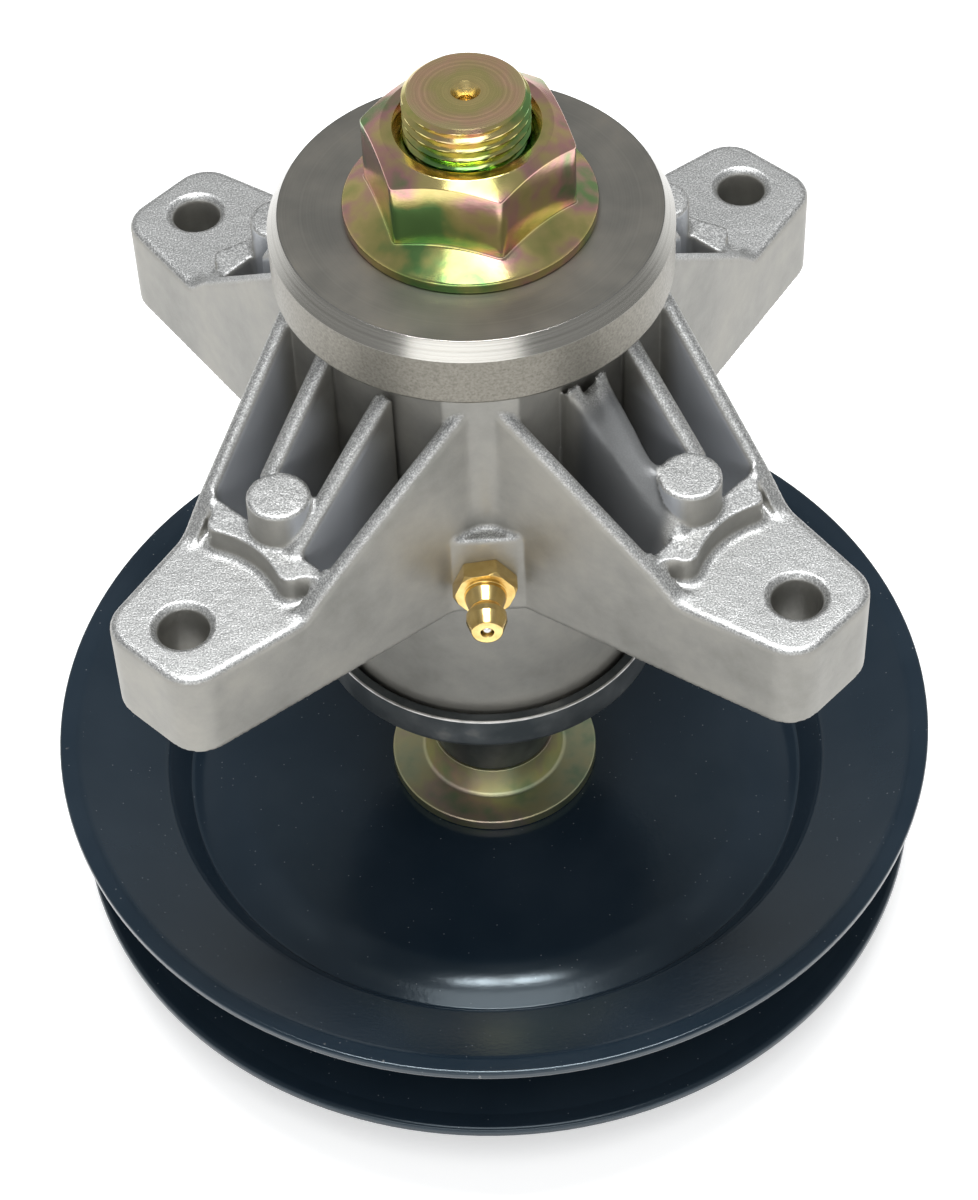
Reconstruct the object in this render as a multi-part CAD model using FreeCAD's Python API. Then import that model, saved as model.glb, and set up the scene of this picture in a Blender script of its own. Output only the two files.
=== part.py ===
import FreeCAD, Part
import math
import os

V = FreeCAD.Vector

# Mower deck spindle, standing on its pulley nut with the blade end up.
# Millimetres, +Z up, the spindle axis is x = y = 0 and the grease fitting faces -Y.

# Flange nuts, one on the blade and one under the pulley
NUT_H = 14.3
NUT_AF = 25.2
NUT_FLANGE_R = 17.1
NUT_RIM_T = 1.5
NUT_CONE_H = 4.6
NUT_TOP_R = 11.3
NUT_SINK_R = 9.8
NUT_FOOT_SINK = 0.9
NUT_EDGE = 0.3
BLADE_NUT_TURN = -75.0
PULLEY_NUT_TURN = -55.0

# Shaft
SEAT_R = 8.5
THREAD_R = 8.4
FLAT_HALF = 6.25
END_RECESS = 0.6
END_CHAMFER = 0.8
STUD_END = 5.3
SEAT_STEP = 5.0
CENTRE_R = 1.85
CENTRE_PILOT_R = 1.0
CENTRE_DEPTH = 3.0

# Pulley, two pressed steel halves laid web to web
SHEET = 1.9
WEB_EDGE_R = 43.8
WEB_EDGE_BEND = 8.0
BOWL_FOOT_R = 48.6
BOWL_FOOT_DROP = 2.1
BOWL_EDGE_R = 52.0
BOWL_H = 3.1
BOWL_BEND = 1.6
UPPER_LIP_R = 65.4
UPPER_LIP_H = 10.9
UPPER_RIM_R = 68.25
UPPER_RIM_H = 11.2
LOWER_WEB_R = 42.0
LOWER_FOOT_R = 49.5
LOWER_FOOT_DROP = 3.1
LOWER_LIP_R = 63.6
LOWER_LIP_DROP = 5.2
LOWER_RIM_R = 66.4
LOWER_RIM_DROP = 5.3
LOWER_BEND = 2.0
LIP_BEND = 1.5
RIM_ROUND = 0.8

# Pulley hub, spacer and dust shield
HUB_FLANGE_R = 16.2
HUB_FLANGE_T = 1.9
HUB_BARREL_R = 10.9
HUB_TOP_R = 9.6
HUB_H = 6.5
HUB_EDGE = 0.4
HUB_COVE = 0.8
SPACER_R = 9.3
SPACER_L = 26.3
SHIELD_WALL = 1.7
SHIELD_GAP = 0.8
SHIELD_FLOOR = 1.7
SHIELD_H = 6.1
SHIELD_FOOT_R = 11.6
SHIELD_FOOT_H = 2.2
SHIELD_BEND = 1.2

# Bearings, 17 x 40 x 12
BEARING_R = 20.0
BEARING_W = 12.0
RACE_SHARE = 0.31
BALL_SHARE = 0.278
CAGE_SHARE = 0.104
CAGE_EDGE = 1.0
BALL_PLAY = 0.2
BALL_COUNT = 8
SEAL_T = 1.0
SEAL_SEAT = 1.0
SEAL_GAP = 0.35
INNER_SPACER_R = 11.4
INNER_SPACER_L = 43.9

# Blade disc
DISC_R = 27.3
DISC_FLAT_R = 25.8
DISC_T = 9.9
DISC_CHAMFER_H = 2.4
DISC_GAP = 0.8
DISC_FOOT_R = 11.6
DISC_EDGE = 0.4

# Housing casting
SEAT_RECESS = 0.6
SEAT_WALL = 3.4
PILOT_WALL = 3.5
HUB_FOOT_WALL = 6.8
HUB_HEAD_WALL = 5.6
VALLEY_BEND = 4.0
SEAT_SHOULDER = 2.5
PILOT_H = 29.8
PILOT_EDGE = 0.6

# Legs: stations run outwards from the axis, and those of the pad end are set from the bolt hole
HOLE_S = 57.7
HOLE_R = 3.5
HOLE_LEAD = 0.8
PAD_T = 14.8
PAD_BEYOND_HOLE = 7.6
PAD_CORNER = 5.2
LEG_HALF_AT_HOLE = 9.92
LEG_TAPER = 0.185
POCKET_FLOOR_T = 5.0
WALL_T = 2.4
POCKET_BEND = 4.0
RIDGE_FOOT = 15.1
RIDGE_FOOT_H = 3.9
RIDGE_RISE = 0.8
RIDGE_DROP = 11.1
RIDGE_ROUND = 1.0
CREST_BEND = 2.2
DROP_BEND = 3.5
PLATE_BEHIND_HOLE = 16.8
PLATE_H = 4.2
WAVE_R = 13.6
EAR_R = 1.8
EAR_REACH = 13.9
NOTCH_R = 3.0
NOTCH_REACH = 12.1
PLATE_FOOT_R = 1.2
RIB_TOP_T = 2.8
RIB_FOOT_T = 4.0
SIDE_RIB_ROOT = 8.5
SIDE_RIB_END = 4.75
FRONT_RIB_ROOT = -4.2
FRONT_RIB_END = -4.66
BROAD_RIB_ROOT = 2.4
BROAD_RIB_END = -4.4
BROAD_RIB_SPREAD = 6.4
BROAD_RIB_SHOULDER = 1.2
STUB_RIB = -4.9
STUB_RIB_L = 2.0
BOSS_BEHIND_HOLE = 18.9
BOSS_R = 4.35
BOSS_H = 10.2
PLATE_WALL = 2.7

# How far cast details run into what carries them, and cuts past the top
SINK = 1.0
LEG_SINK = 0.5
RIB_SINK = 0.6
PLATE_SINK = 0.2
CUT_OVER = 10.0

# Grease boss and fitting
FITTING_X = -0.5
FITTING_H = 6.7
FACE_OUT = 8.1
FACE_HALF = 5.1
FACE_H = 14.6
SHANK_R = 3.0
SHANK_L = 6.0
PASSAGE_R = 1.4
FIT_AF = 7.9
FIT_HEX_L = 2.8
FIT_HEX_TURN = 8.0
FIT_CHAMFER = 0.5
FIT_COLLAR_R = 2.9
FIT_COLLAR_L = 0.6
FIT_WAIST_R = 2.15
FIT_WAIST_L = 2.2
FIT_HEAD_R = 2.8
FIT_HEAD_L = 1.0
FIT_TIP_R = 2.1
FIT_TIP_L = 2.0
FIT_BORE_R = 0.9
FIT_BALL_DEPTH = 1.1

# Heights, stacked from the floor up
WEB_TOP = NUT_H + 2 * SHEET
HUB_TOP = WEB_TOP + HUB_H
SHIELD_Z = HUB_TOP + SPACER_L
LOWER_BEARING_Z = SHIELD_Z + SHIELD_FLOOR + SHIELD_FOOT_H
LOWER_SEAT_Z = LOWER_BEARING_Z + BEARING_W
UPPER_BEARING_Z = LOWER_SEAT_Z + INNER_SPACER_L
UPPER_SEAT_Z = UPPER_BEARING_Z + BEARING_W
HOUSING_Z = LOWER_BEARING_Z - SEAT_RECESS
HOUSING_TOP = UPPER_SEAT_Z + SEAT_RECESS
MOUNT_Z = HOUSING_Z + PILOT_H
POCKET_Z = MOUNT_Z + POCKET_FLOOR_T
PAD_TOP = MOUNT_Z + PAD_T
DISC_Z = HOUSING_TOP + DISC_GAP
DISC_TOP = DISC_Z + DISC_T
SHAFT_Z = END_RECESS
SHAFT_TOP = DISC_TOP + NUT_H + STUD_END
SEAT_Z = LOWER_BEARING_Z - SHIELD_FOOT_H / 2
SEAT_TOP = DISC_TOP - SEAT_STEP
FITTING_Z = MOUNT_Z + FITTING_H
OVER = HOUSING_TOP + CUT_OVER

# Radii and stations that follow from the sizes above
RING_W = BEARING_R - SEAT_R
PITCH_R = SEAT_R + RING_W / 2
INNER_LAND_R = SEAT_R + RING_W * RACE_SHARE
OUTER_LAND_R = BEARING_R - RING_W * RACE_SHARE
BALL_R = RING_W * BALL_SHARE
CAGE_HALF_T = RING_W * CAGE_SHARE
CAGE_HALF_W = BALL_R + CAGE_EDGE
SEAL_SEAT_R = OUTER_LAND_R + SEAL_SEAT
CAVITY_R = BEARING_R - SEAT_SHOULDER
PILOT_R = BEARING_R + PILOT_WALL
HUB_FOOT_R = BEARING_R + HUB_FOOT_WALL
HUB_HEAD_R = BEARING_R + HUB_HEAD_WALL
POCKET_R = BEARING_R + SEAT_WALL
LEG_ROOT = POCKET_R / 2
FACE_Y = -(BEARING_R + FACE_OUT)
PLATE_S = HOLE_S - PLATE_BEHIND_HOLE
RIDGE_S = HOLE_S - RIDGE_FOOT


def rounded(points):
    """Closed wire through (point, radius) corners, with arcs where there is a radius."""
    count = len(points)
    starts = []
    ends = []
    mids = []
    for i in range(count):
        p, r = points[i]
        if r <= 0:
            starts.append(p)
            ends.append(p)
            mids.append(None)
            continue
        u = (points[i - 1][0] - p).normalize()
        v = (points[(i + 1) % count][0] - p).normalize()
        half = u.getAngle(v) / 2
        run = r / math.tan(half)
        inward = (u + v).normalize()
        starts.append(p + u * run)
        ends.append(p + v * run)
        mids.append(p + inward * (r / math.sin(half) - r))
    edges = []
    for i in range(count):
        if mids[i] is not None:
            edges.append(Part.Arc(starts[i], mids[i], ends[i]).toShape())
        j = (i + 1) % count
        if (starts[j] - ends[i]).Length > 1e-6:
            edges.append(Part.makeLine(ends[i], starts[j]))
    return Part.Wire(edges)


def turned(points):
    """Body of revolution about Z from (radius, height, corner radius) points."""
    corners = [(V(p[0], 0, p[1]), p[2] if len(p) > 2 else 0) for p in points]
    return Part.Face(rounded(corners)).revolve(V(0, 0, 0), V(0, 0, 1), 360)


def prism(points, z0, z1):
    """Upright prism from plan (x, y, corner radius) points between two heights."""
    corners = [(V(p[0], p[1], z0), p[2] if len(p) > 2 else 0) for p in points]
    return Part.Face(rounded(corners)).extrude(V(0, 0, z1 - z0))


def cylinder(r, z0, z1, x=0.0):
    return Part.makeCylinder(r, z1 - z0, V(x, 0, z0))


def tube(r0, r1, z0, z1):
    return turned([(r0, z0), (r1, z0), (r1, z1), (r0, z1)])


def hexagon(across_flats, z0, z1, turn):
    r = across_flats / math.sqrt(3)
    angles = [math.radians(turn + 60 * k) for k in range(6)]
    return prism([(r * math.cos(a), r * math.sin(a)) for a in angles], z0, z1)


def one_sheet_below(line):
    """The (radius, height) polyline moved down by the sheet, mitred at its bends."""
    moved = []
    last = len(line) - 1
    for i in range(len(line)):
        normals = []
        for a, b in ((i - 1, i), (i, i + 1)):
            if a >= 0 and b <= last:
                run = V(line[b][0] - line[a][0], 0, line[b][1] - line[a][1])
                normals.append(V(run.z, 0, -run.x).normalize())
        side = normals[0] + normals[-1]
        side.normalize()
        if i in (0, last):
            side = V(0, 0, -1)
            step = SHEET
        else:
            step = SHEET / side.dot(normals[0])
        moved.append((line[i][0] + side.x * step, line[i][1] + side.z * step))
    return moved


def pressed(line, bends):
    """Sheet of revolution under a line; a bend is positive where the top side is hollow."""
    below = one_sheet_below(line)
    over_bends = [0] + [b if b > 0 else SHEET - b for b in bends] + [RIM_ROUND]
    under_bends = [0] + [-b if b < 0 else SHEET + b for b in bends] + [RIM_ROUND]
    points = [(r, z, bend) for (r, z), bend in zip(line, over_bends)]
    points += reversed([(r, z, bend) for (r, z), bend in zip(below, under_bends)])
    return turned(points)


def between_flats(z0, z1):
    """Stock between the two drive flats of the shaft."""
    reach = 2 * THREAD_R
    return Part.makeBox(2 * reach, 2 * FLAT_HALF, z1 - z0, V(-reach, -FLAT_HALF, z0))


def drive_bore():
    """Round hole with two flats that the pulley end of the shaft drives."""
    return cylinder(THREAD_R, 0, OVER).common(between_flats(0, OVER))


def flange_nut(turn):
    """Flange nut standing on its flange at height zero."""
    corner = NUT_AF / math.sqrt(3)
    drop = (corner - NUT_TOP_R) * math.tan(math.radians(30))
    crown = turned([(0, 0), (corner, 0), (corner, NUT_H - drop), (NUT_TOP_R, NUT_H), (0, NUT_H)])
    body = hexagon(NUT_AF, 0, NUT_H, turn).common(crown)
    flange = turned([
        (0, 0), (NUT_FLANGE_R - NUT_EDGE, 0), (NUT_FLANGE_R, NUT_EDGE),
        (NUT_FLANGE_R, NUT_RIM_T, 2 * NUT_EDGE), (NUT_TOP_R, NUT_CONE_H), (0, NUT_CONE_H)])
    body = body.fuse(flange).removeSplitter()
    sink = NUT_SINK_R - THREAD_R
    foot_r = THREAD_R + NUT_FOOT_SINK
    bore = turned([
        (0, 0), (foot_r, 0), (THREAD_R, NUT_FOOT_SINK), (THREAD_R, NUT_H - sink),
        (NUT_SINK_R, NUT_H), (0, NUT_H)])
    return body.cut(bore)


def leg_half(s):
    """Half width of a leg at a station."""
    return LEG_HALF_AT_HOLE + (HOLE_S - s) * LEG_TAPER


def ridge_z(s):
    """Height of the sloping wall tops at a station."""
    return PAD_TOP + RIDGE_FOOT_H + RIDGE_RISE * (RIDGE_S - s)


def strip(s0, s1, inset, z0, z1):
    """Upright strip along the leg between two stations, inset from both sides."""
    w0 = leg_half(s0) - inset
    w1 = leg_half(s1) - inset
    return prism([(s0, -w0), (s1, -w1), (s1, w1), (s0, w0)], z0, z1)


def rib(s0, o0, s1, o1):
    """Round-topped rib under the ridge slope, from offset o0 at s0 to o1 at s1."""
    crown_z = ridge_z(s0)
    crown_r = RIB_TOP_T / 2
    low = POCKET_Z - SINK
    left_foot = V(s0, o0 - RIB_FOOT_T / 2, low)
    right_foot = V(s0, o0 + RIB_FOOT_T / 2, low)
    left = V(s0, o0 - crown_r, crown_z - crown_r)
    right = V(s0, o0 + crown_r, crown_z - crown_r)
    section = Part.Wire([
        Part.makeLine(left_foot, left), Part.Arc(left, V(s0, o0, crown_z), right).toShape(),
        Part.makeLine(right, right_foot), Part.makeLine(right_foot, left_foot)])
    return Part.Face(section).extrude(V(s1 - s0, o1 - o0, ridge_z(s1) - crown_z))


def broad_rib():
    """The front right leg's rib: a long sloping flank on the fitting's side, with a stub rib at the hub."""
    half = RIB_TOP_T / 2
    low = POCKET_Z - SINK
    sections = []
    for s, o, brow, drop, foot in (
            (LEG_ROOT, BROAD_RIB_ROOT, STUB_RIB, BROAD_RIB_SHOULDER, STUB_RIB - RIB_FOOT_T / 2),
            (PLATE_S + SINK, BROAD_RIB_END, BROAD_RIB_END - half, 0, BROAD_RIB_END - BROAD_RIB_SPREAD)):
        top = ridge_z(s) - half
        edge = V(s, brow, top - drop)
        sections.append(Part.makePolygon([
            edge, V(s, o + half, top), V(s, o + RIB_FOOT_T / 2, low), V(s, foot, low), edge]))
    flank = Part.makeLoft(sections, True, True)
    ridge = rib(LEG_ROOT, BROAD_RIB_ROOT, PLATE_S + SINK, BROAD_RIB_END)
    stub = rib(LEG_ROOT, STUB_RIB, POCKET_R + STUB_RIB_L, STUB_RIB)
    return flank.fuse(ridge).fuse(stub)


def wavy_plate():
    """Plate across the leg: hollow round the bolt, two ears, a notch at each wall, a foot fillet."""
    ear_s = HOLE_S - EAR_REACH
    ear_o = math.sqrt((WAVE_R + EAR_R) ** 2 - EAR_REACH ** 2)
    notch_s = HOLE_S - NOTCH_REACH
    notch_o = ear_o + math.sqrt((EAR_R + NOTCH_R) ** 2 - (EAR_REACH - NOTCH_REACH) ** 2)
    outer = leg_half(PLATE_S) + NOTCH_R
    hole = V(HOLE_S, 0, 0)
    run = [Part.Arc(
        hole + (V(ear_s, -ear_o, 0) - hole).normalize() * WAVE_R, hole - V(WAVE_R, 0, 0),
        hole + (V(ear_s, ear_o, 0) - hole).normalize() * WAVE_R).toShape()]
    for side in (-1, 1):
        ear = V(ear_s, side * ear_o, 0)
        notch = V(notch_s, side * notch_o, 0)
        on_wave = ear + (hole - ear).normalize() * EAR_R
        on_notch = ear + (notch - ear).normalize() * EAR_R
        ear_tip = ear + ((hole - ear).normalize() + (notch - ear).normalize()).normalize() * EAR_R
        notch_foot = notch - V(NOTCH_R, 0, 0)
        turn_mid = notch + ((ear - notch).normalize() + V(-1, 0, 0)).normalize() * NOTCH_R
        wall = V(notch_s - NOTCH_R, side * outer, 0)
        run.append(Part.Arc(on_wave, ear_tip, on_notch).toShape())
        run.append(Part.Arc(on_notch, turn_mid, notch_foot).toShape())
        run.append(Part.makeLine(notch_foot, wall))
    back = PLATE_S - BOSS_R
    run.append(Part.makePolygon([
        V(notch_s - NOTCH_R, -outer, 0), V(back, -outer, 0), V(back, outer, 0),
        V(notch_s - NOTCH_R, outer, 0)]))
    edges = []
    for piece in run:
        edges.extend(piece.Edges)
    wire = Part.Wire(Part.__sortEdges__(edges))
    plate = Part.Face(wire).extrude(V(0, 0, PLATE_H + SINK))
    plate.translate(V(0, 0, PAD_TOP - SINK))
    pad = Part.makeBox(HOLE_S - back, 2 * outer, SINK, V(back, -outer, PAD_TOP - SINK))
    both = pad.fuse(plate).removeSplitter()
    foot = []
    for e in both.Edges:
        box = e.BoundBox
        level = abs(box.ZMin - PAD_TOP) < 1e-4 and abs(box.ZMax - PAD_TOP) < 1e-4
        if level and box.XMin > back + PLATE_SINK and box.XMax < HOLE_S:
            foot.append(e)
    both = both.makeFillet(PLATE_FOOT_R, foot)
    keep = strip(PLATE_S, HOLE_S, WALL_T - PLATE_SINK, PAD_TOP - SINK, OVER)
    return both.common(keep)


def leg(broad):
    """One leg along +X: walls, pocket, ribs, wavy plate, round boss and bored pad."""
    end = HOLE_S + PAD_BEYOND_HOLE
    end_w = leg_half(end)
    root_w = leg_half(LEG_ROOT)
    outline = prism([
        (LEG_ROOT, -root_w), (end, -end_w, PAD_CORNER), (end, end_w, PAD_CORNER), (LEG_ROOT, root_w)],
        MOUNT_Z, OVER)
    drop_s = HOLE_S - RIDGE_DROP
    side = rounded([
        (V(LEG_ROOT, -root_w, MOUNT_Z), 0), (V(end, -root_w, MOUNT_Z), 0), (V(end, -root_w, PAD_TOP), 0),
        (V(drop_s, -root_w, PAD_TOP), DROP_BEND), (V(RIDGE_S, -root_w, ridge_z(RIDGE_S)), CREST_BEND),
        (V(LEG_ROOT, -root_w, ridge_z(LEG_ROOT)), 0)])
    body = Part.Face(side).extrude(V(0, 2 * root_w, 0)).common(outline)
    body = body.cut(strip(LEG_ROOT - SINK, PLATE_S, WALL_T, POCKET_Z, OVER))
    body = body.cut(strip(PLATE_S, HOLE_S, PLATE_WALL, PAD_TOP, OVER))
    ridges = []
    for e in body.Edges:
        if e.BoundBox.XLength > PLATE_S / 2 and e.BoundBox.ZLength > PAD_T / 2:
            ridges.append(e)
    body = body.makeFillet(RIDGE_ROUND, ridges)
    body = body.fuse(wavy_plate())

    inside = strip(LEG_ROOT, PLATE_S + SINK, WALL_T - RIB_SINK, POCKET_Z - SINK, OVER)
    boss_s = HOLE_S - BOSS_BEHIND_HOLE
    ribs = [rib(LEG_ROOT, SIDE_RIB_ROOT, boss_s - BOSS_R / 2, SIDE_RIB_END)]
    if broad:
        ribs.append(broad_rib())
    else:
        ribs.append(rib(LEG_ROOT, FRONT_RIB_ROOT, PLATE_S + SINK, FRONT_RIB_END))
    for piece in ribs:
        body = body.fuse(piece.common(inside))
    body = body.fuse(cylinder(BOSS_R, POCKET_Z - SINK, PAD_TOP + BOSS_H, boss_s))
    lead_r = HOLE_R + HOLE_LEAD
    hole = turned([
        (0, MOUNT_Z), (HOLE_R, MOUNT_Z), (HOLE_R, PAD_TOP - HOLE_LEAD), (lead_r, PAD_TOP), (0, PAD_TOP)])
    hole.translate(V(HOLE_S, 0, 0))
    body = body.cut(hole)
    body = body.cut(cylinder(POCKET_R - LEG_SINK, MOUNT_Z, OVER))
    return body.cut(cylinder(2 * HOLE_S, HOUSING_TOP - PLATE_SINK, OVER + SINK))


def corner(shape, mirror_x, mirror_y):
    """A leg along +X turned to the front right, then mirrored to its own corner."""
    shape = shape.copy()
    shape.rotate(V(0, 0, 0), V(0, 0, 1), -45)
    if mirror_x:
        shape = shape.mirror(V(0, 0, 0), V(1, 0, 0))
    if mirror_y:
        shape = shape.mirror(V(0, 0, 0), V(0, 1, 0))
    return shape


def hub():
    """Middle of the casting: the legs' outer walls meet in a round valley on each side, above the pilot."""
    meeting = (LEG_HALF_AT_HOLE + HOLE_S * LEG_TAPER) / (1 + LEG_TAPER)
    beyond = meeting + VALLEY_BEND
    diagonal = math.sqrt(0.5)
    across = diagonal * (beyond - leg_half(beyond))
    out = diagonal * (beyond + leg_half(beyond))
    plan = []
    for k in range(4):
        c = math.cos(k * math.pi / 2)
        s = math.sin(k * math.pi / 2)
        for x, y, bend in ((-across, -out, 0), (0, -2 * diagonal * meeting, VALLEY_BEND), (across, -out, 0)):
            plan.append((c * x - s * y, s * x + c * y, bend))
    body = prism(plan, MOUNT_Z, HOUSING_TOP).common(turned([
        (0, MOUNT_Z), (HUB_FOOT_R, MOUNT_Z), (HUB_HEAD_R, HOUSING_TOP), (0, HOUSING_TOP)]))
    return body.fuse(turned([
        (0, HOUSING_Z), (PILOT_R - PILOT_EDGE, HOUSING_Z), (PILOT_R, HOUSING_Z + PILOT_EDGE),
        (PILOT_R, MOUNT_Z + SINK), (0, MOUNT_Z + SINK)]))


def pocket():
    """Hollow of a leg: the hub bulges into its inner end, with a round corner at each wall."""
    shape = strip(LEG_ROOT, PLATE_S, WALL_T, POCKET_Z, OVER).cut(cylinder(POCKET_R, POCKET_Z, OVER))
    corners = []
    for e in shape.Edges:
        box = e.BoundBox
        if box.XLength < 1e-4 and box.YLength < 1e-4 and box.XMax < POCKET_R + SINK:
            corners.append(e)
    return shape.makeFillet(POCKET_BEND, corners)


def housing():
    """Die-cast housing: hub, four ribbed legs, grease boss, bearing seats and drillings."""
    body = hub()
    hollow = pocket()
    plain = leg(False)
    corners = ((leg(True), False, False), (plain, True, False), (plain, False, True), (plain, True, True))
    for shape, mirror_x, mirror_y in corners:
        body = body.cut(corner(hollow, mirror_x, mirror_y))
    for shape, mirror_x, mirror_y in corners:
        body = body.fuse(corner(shape, mirror_x, mirror_y))
    body = body.fuse(Part.makeBox(
        2 * FACE_HALF, FACE_OUT - SEAT_WALL, FACE_H, V(FITTING_X - FACE_HALF, FACE_Y, MOUNT_Z)))
    body = body.removeSplitter()
    body = body.cut(turned([
        (0, HOUSING_Z), (BEARING_R, HOUSING_Z), (BEARING_R, LOWER_SEAT_Z), (CAVITY_R, LOWER_SEAT_Z),
        (CAVITY_R, UPPER_BEARING_Z), (BEARING_R, UPPER_BEARING_Z), (BEARING_R, HOUSING_TOP),
        (0, HOUSING_TOP)]))
    mouth = V(FITTING_X, FACE_Y, FITTING_Z)
    inwards = V(0, 1, 0)
    body = body.cut(Part.makeCylinder(SHANK_R, SHANK_L, mouth, inwards))
    return body.cut(Part.makeCylinder(PASSAGE_R, -FACE_Y, mouth, inwards))


def on_grease_boss(shape):
    """Turn a body built upright at the origin so that it stands out of the grease boss."""
    shape.rotate(V(0, 0, 0), V(1, 0, 0), 90)
    shape.translate(V(FITTING_X, FACE_Y, FITTING_Z))
    return shape


def grease_fitting():
    across = FIT_AF / math.sqrt(3)
    crown = turned([
        (0, 0), (across, 0), (across, FIT_HEX_L - FIT_CHAMFER), (across - FIT_CHAMFER, FIT_HEX_L),
        (0, FIT_HEX_L)])
    body = hexagon(FIT_AF, 0, FIT_HEX_L, FIT_HEX_TURN).common(crown)
    collar = FIT_HEX_L + FIT_COLLAR_L
    waist = collar + FIT_WAIST_L
    head = waist + FIT_HEAD_L
    tip = head + FIT_HEAD_L + FIT_TIP_L
    body = body.fuse(turned([
        (0, -SHANK_L), (SHANK_R, -SHANK_L), (SHANK_R, FIT_HEX_L / 2), (FIT_COLLAR_R, FIT_HEX_L / 2),
        (FIT_COLLAR_R, collar, FIT_COLLAR_R / 3), (FIT_WAIST_R, waist, FIT_WAIST_R / 4),
        (FIT_HEAD_R, head, FIT_HEAD_L / 3), (FIT_HEAD_R, head + FIT_HEAD_L, FIT_HEAD_L / 3),
        (FIT_TIP_R, tip), (0, tip)]))
    body = body.removeSplitter().cut(cylinder(FIT_BORE_R, -SHANK_L, tip))
    ball = Part.makeSphere(FIT_BORE_R, V(0, 0, tip - FIT_BALL_DEPTH))
    return on_grease_boss(body), on_grease_boss(ball)


def bearing(z0, seal_z):
    """Races, seal, balls and cage of a bearing that starts at height z0."""
    z1 = z0 + BEARING_W
    mid = z0 + BEARING_W / 2
    groove = Part.makeTorus(PITCH_R, BALL_R + BALL_PLAY, V(0, 0, mid))
    inner = tube(SEAT_R, INNER_LAND_R, z0, z1).cut(groove)
    outer = tube(OUTER_LAND_R, BEARING_R, z0, z1).cut(groove)
    outer = outer.cut(cylinder(SEAL_SEAT_R, seal_z, seal_z + SEAL_T))
    seal = tube(INNER_LAND_R + SEAL_GAP, SEAL_SEAT_R, seal_z, seal_z + SEAL_T)
    cage = tube(PITCH_R - CAGE_HALF_T, PITCH_R + CAGE_HALF_T, mid - CAGE_HALF_W, mid + CAGE_HALF_W)
    balls = []
    for k in range(BALL_COUNT):
        angle = 2 * math.pi * k / BALL_COUNT
        out = V(math.cos(angle), math.sin(angle), 0)
        balls.append(Part.makeSphere(BALL_R, out * PITCH_R + V(0, 0, mid)))
        cage = cage.cut(Part.makeCylinder(BALL_R, BEARING_R, V(0, 0, mid), out))
    return {"inner_race": inner, "outer_race": outer, "seal": seal,
            "balls": Part.makeCompound(balls), "cage": cage}


def shaft():
    """Turned spindle: bearing seat in the middle, threads at both ends, flats under the pulley hub."""
    body = turned([
        (0, SHAFT_Z), (THREAD_R - END_CHAMFER, SHAFT_Z), (THREAD_R, SHAFT_Z + END_CHAMFER),
        (THREAD_R, SEAT_Z), (SEAT_R, SEAT_Z), (SEAT_R, SEAT_TOP), (THREAD_R, SEAT_TOP),
        (THREAD_R, SHAFT_TOP - END_CHAMFER), (THREAD_R - END_CHAMFER, SHAFT_TOP), (CENTRE_R, SHAFT_TOP),
        (CENTRE_PILOT_R, SHAFT_TOP - CENTRE_DEPTH / 2), (CENTRE_PILOT_R, SHAFT_TOP - CENTRE_DEPTH),
        (0, SHAFT_TOP - CENTRE_DEPTH)])
    waste = cylinder(2 * THREAD_R, SHAFT_Z, HUB_TOP).cut(between_flats(SHAFT_Z, HUB_TOP))
    return body.cut(waste)


def blade_disc():
    return turned([
        (SEAT_R, UPPER_SEAT_Z), (DISC_FOOT_R, UPPER_SEAT_Z), (DISC_FOOT_R, DISC_Z),
        (DISC_R - DISC_EDGE, DISC_Z), (DISC_R, DISC_Z + DISC_EDGE), (DISC_R, DISC_TOP - DISC_CHAMFER_H),
        (DISC_FLAT_R, DISC_TOP),
        (THREAD_R, DISC_TOP), (THREAD_R, SEAT_TOP), (SEAT_R, SEAT_TOP)])


def dust_shield():
    """Cup that turns round the pilot, with a foot against the lower bearing's inner race."""
    inside = PILOT_R + SHIELD_GAP
    outside = inside + SHIELD_WALL
    floor = SHIELD_Z + SHIELD_FLOOR
    return turned([
        (THREAD_R, SHIELD_Z), (outside, SHIELD_Z, SHIELD_BEND), (outside, SHIELD_Z + SHIELD_H),
        (inside, SHIELD_Z + SHIELD_H), (inside, floor), (SHIELD_FOOT_R, floor),
        (SHIELD_FOOT_R, LOWER_BEARING_Z), (SEAT_R, LOWER_BEARING_Z), (SEAT_R, SEAT_Z), (THREAD_R, SEAT_Z)])


def pulley_hub():
    foot = WEB_TOP + HUB_FLANGE_T
    body = turned([
        (0, WEB_TOP), (HUB_FLANGE_R - HUB_EDGE, WEB_TOP), (HUB_FLANGE_R, WEB_TOP + HUB_EDGE),
        (HUB_FLANGE_R, foot, HUB_EDGE), (HUB_BARREL_R, foot, HUB_COVE),
        (HUB_TOP_R, HUB_TOP), (0, HUB_TOP)])
    return body.cut(drive_bore())


def pulley_halves():
    """Upper and lower pressings; their webs lie face to face and their flanges make the belt groove."""
    start = FLAT_HALF / 2
    upper = pressed(
        [(start, WEB_TOP), (WEB_EDGE_R, WEB_TOP), (BOWL_FOOT_R, WEB_TOP - BOWL_FOOT_DROP),
         (BOWL_EDGE_R, WEB_TOP + BOWL_H), (UPPER_LIP_R, WEB_TOP + UPPER_LIP_H),
         (UPPER_RIM_R, WEB_TOP + UPPER_RIM_H)],
        [-WEB_EDGE_BEND, BOWL_BEND, -BOWL_BEND, -LIP_BEND])
    web = WEB_TOP - SHEET
    lower = pressed(
        [(start, web), (LOWER_WEB_R, web), (LOWER_FOOT_R, web - LOWER_FOOT_DROP),
         (LOWER_LIP_R, web - LOWER_LIP_DROP), (LOWER_RIM_R, web - LOWER_RIM_DROP)],
        [-LOWER_BEND, LOWER_BEND, LIP_BEND])
    return upper.cut(drive_bore()), lower.cut(drive_bore())


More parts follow.
